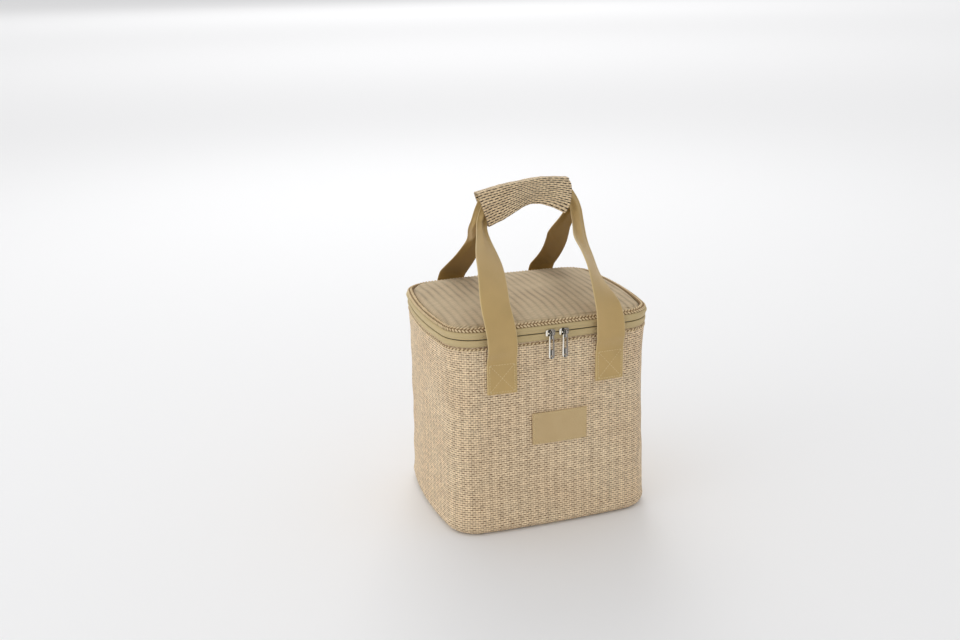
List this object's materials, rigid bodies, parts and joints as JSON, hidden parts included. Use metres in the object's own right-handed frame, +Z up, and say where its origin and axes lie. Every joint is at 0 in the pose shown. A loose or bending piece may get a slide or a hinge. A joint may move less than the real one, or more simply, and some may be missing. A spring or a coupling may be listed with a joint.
{
  "type": "cooler bag",
  "caption": "Upright soft cooler bag: woven shell over foam and foil liner, domed zip-round lid, and webbing handles joined by a wrap-round grip.",
  "frame": {"origin": "middle of the base, on the surface that the bag stands on", "axes": "+Z up, -Y out of the front panel with the label and the zip pulls, +X to the right seen from the front"},
  "size_m": [0.2432, 0.2209, 0.3644],
  "materials": {
    "woven_straw": "coarse paper-straw weave, matt",
    "webbing": "smooth flat polyester webbing, low sheen",
    "zip_tape": "fine woven zip tape",
    "zip_coil": "nylon coil",
    "label_cloth": "close woven patch, bare",
    "binding": "plain bias tape",
    "foil_liner": "metallised film, soft sheen",
    "foam": "closed-cell foam",
    "board": "plain stiffener board",
    "hook_and_loop": "hook and loop tape",
    "nickel": "polished nickel plate"
  },
  "bodies": {
    "bag": {"body_side_fabric": "woven_straw", "base_fabric": "woven_straw", "base_board": "board", "base_foam": "foam", "wall_foam": "foam", "liner_tub": "foil_liner", "rim_binding": "binding", "lower_zip_tape": "zip_tape", "lower_zip_coil": "zip_coil", "hinge_strip_lower": "woven_straw", "front_left_strap_end": "webbing", "front_right_strap_end": "webbing", "back_left_strap_end": "webbing", "back_right_strap_end": "webbing", "front_label": "label_cloth"},
    "lid": {"lid_top_panel": "woven_straw", "lid_foam": "foam", "lid_liner": "foil_liner", "lid_side_band": "woven_straw", "lid_binding": "binding", "upper_zip_tape": "zip_tape", "upper_zip_coil": "zip_coil", "hinge_strip_upper": "woven_straw"},
    "front_handle": {"front_handle_webbing": "webbing"},
    "back_handle": {"back_handle_webbing": "webbing", "grip_wrap_panel": "woven_straw", "grip_pad": "foam", "grip_loop_strip": "hook_and_loop"},
    "wrap_flap": {"grip_wrap_flap": "woven_straw", "grip_hook_strip": "hook_and_loop"},
    "slider_left": {"slider_left": "nickel"},
    "pull_left": {"pull_left": "nickel"},
    "slider_right": {"slider_right": "nickel"},
    "pull_right": {"pull_right": "nickel"}
  },
  "joints": [
    {"name": "lid_hinge", "type": "hinge", "parent": "bag", "child": "lid", "pos_m": [0, 0.1024, 0.2216], "axis": [-1, 0, 0], "range_deg": [0, 100]},
    {"name": "front_handle_fold", "type": "hinge", "parent": "bag", "child": "front_handle", "pos_m": [0, -0.10443, 0.1962], "axis": [1, 0, 0], "range_deg": [0, 165]},
    {"name": "back_handle_fold", "type": "hinge", "parent": "bag", "child": "back_handle", "pos_m": [0, 0.10443, 0.1962], "axis": [-1, 0, 0], "range_deg": [0, 165]},
    {"name": "wrap_flap_open", "type": "hinge", "parent": "back_handle", "child": "wrap_flap", "pos_m": [0.003, 0.00185, 0.362], "axis": [-1, 0, 0], "range_deg": [0, 150], "deforming": ["grip_wrap_flap", "grip_hook_strip"]},
    {"name": "slider_left_run", "type": "slide", "parent": "bag", "child": "slider_left", "axis": [-0.9999, 0.0172, 0], "range_m": [0, 0.028]},
    {"name": "slider_right_run", "type": "slide", "parent": "bag", "child": "slider_right", "axis": [0.9999, 0.0172, 0], "range_m": [0, 0.028]},
    {"name": "pull_left_swing", "type": "hinge", "parent": "slider_left", "child": "pull_left", "pos_m": [-0.00753, -0.10673, 0.2222], "axis": [-1, 0, 0], "range_deg": [0, 165]},
    {"name": "pull_right_swing", "type": "hinge", "parent": "slider_right", "child": "pull_right", "pos_m": [0.00753, -0.10673, 0.2222], "axis": [-1, 0, 0], "range_deg": [0, 165]}
  ],
  "couplings": [
    {"joint": "front_handle_fold", "follows": "lid_hinge", "ratio": 1.65},
    {"joint": "back_handle_fold", "follows": "lid_hinge", "ratio": 1.65}
  ]
}
